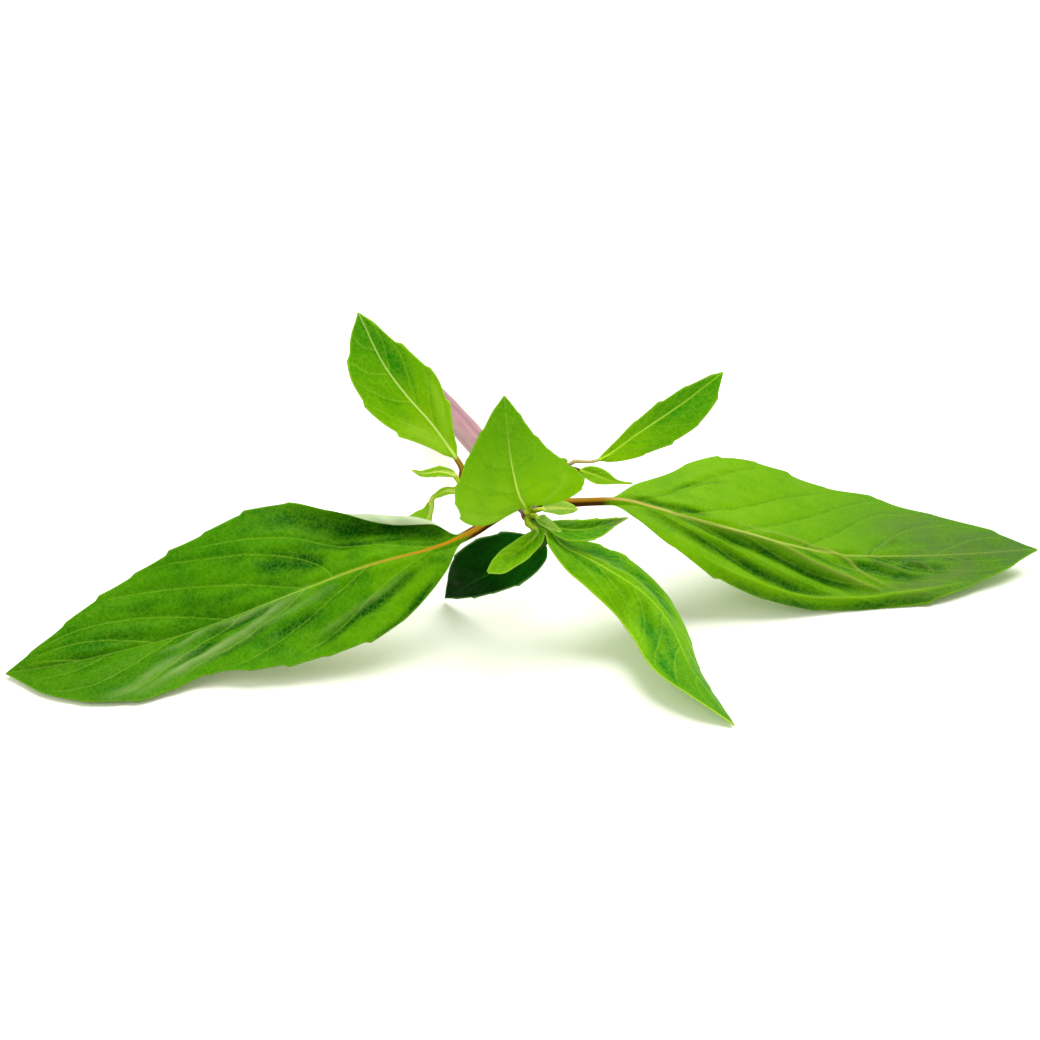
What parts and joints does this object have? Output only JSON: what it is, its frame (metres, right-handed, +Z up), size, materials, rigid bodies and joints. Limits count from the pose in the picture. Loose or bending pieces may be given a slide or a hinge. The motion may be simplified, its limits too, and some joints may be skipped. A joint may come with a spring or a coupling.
{
  "type": "basil sprig",
  "caption": "Fresh-cut sprig of Thai-type basil lying on its leaves: purple stem, two large serrated leaves and smaller young leaves at the tip.",
  "frame": {"origin": "centre of the footprint on the surface the sprig lies on", "axes": "+X from the left large leaf's tip towards the right one's, +Y from the growing tip back along the stem to its cut end, +Z up"},
  "size_m": [0.1326, 0.0956, 0.0419],
  "materials": {
    "purple_stem": "mauve, finely ribbed and slightly hairy",
    "young_stem": "dark red, smooth",
    "mature_leaf": "deep green, quilted between the veins, satin",
    "fresh_leaf": "fresh green, satin",
    "young_leaf": "yellow-green, satin and thin"
  },
  "bodies": {
    "root": {"main_stem": "purple_stem", "left_shoot_stem": "young_stem", "right_shoot_stem": "young_stem", "left_large_leaf": "mature_leaf", "right_large_leaf": "mature_leaf", "front_leaf": "fresh_leaf", "upright_leaf": "young_leaf", "shaded_leaf": "mature_leaf", "young_left_leaf": "young_leaf", "young_right_leaf": "fresh_leaf", "bud_leaf_right": "young_leaf", "bud_leaf_front": "young_leaf", "upper_left_leaf": "fresh_leaf", "hanging_left_leaf": "young_leaf", "curled_left_leaf": "young_leaf", "bud_leaf_left": "young_leaf", "upper_right_leaf": "fresh_leaf", "lower_right_leaf": "fresh_leaf", "back_right_leaf": "fresh_leaf", "bud_leaf_top": "young_leaf"}
  },
  "joints": []
}
